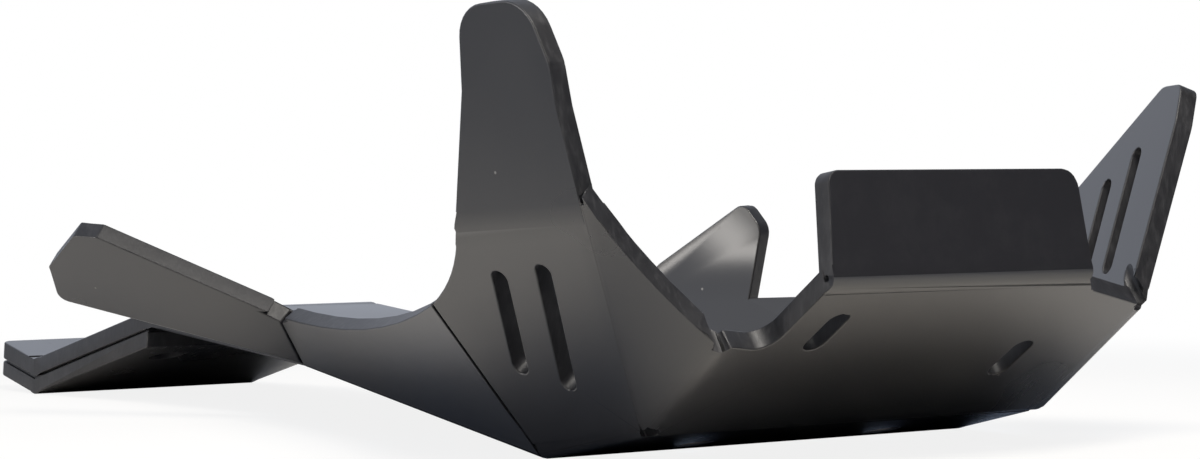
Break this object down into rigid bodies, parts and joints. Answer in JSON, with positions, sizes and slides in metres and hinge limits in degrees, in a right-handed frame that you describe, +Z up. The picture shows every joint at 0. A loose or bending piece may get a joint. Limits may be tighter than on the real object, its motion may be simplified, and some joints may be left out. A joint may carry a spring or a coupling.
{
  "type": "motorcycle skid plate",
  "caption": "Skid plate folded from one thick black plastic sheet: flat belly, sloped nose and front plate, upright flange, slotted side wings and a tail guard with a second layer.",
  "frame": {"origin": "on the underside of the flat belly, on the centre line, halfway along the belly", "axes": "+X forward, towards the flange; +Y to the left of the machine; +Z up"},
  "size_m": [0.622, 0.3218, 0.2184],
  "materials": {
    "sheet": "satin",
    "layer": "satin"
  },
  "bodies": {
    "root": {"folded_sheet": "sheet", "guard_layer": "layer"}
  },
  "joints": []
}
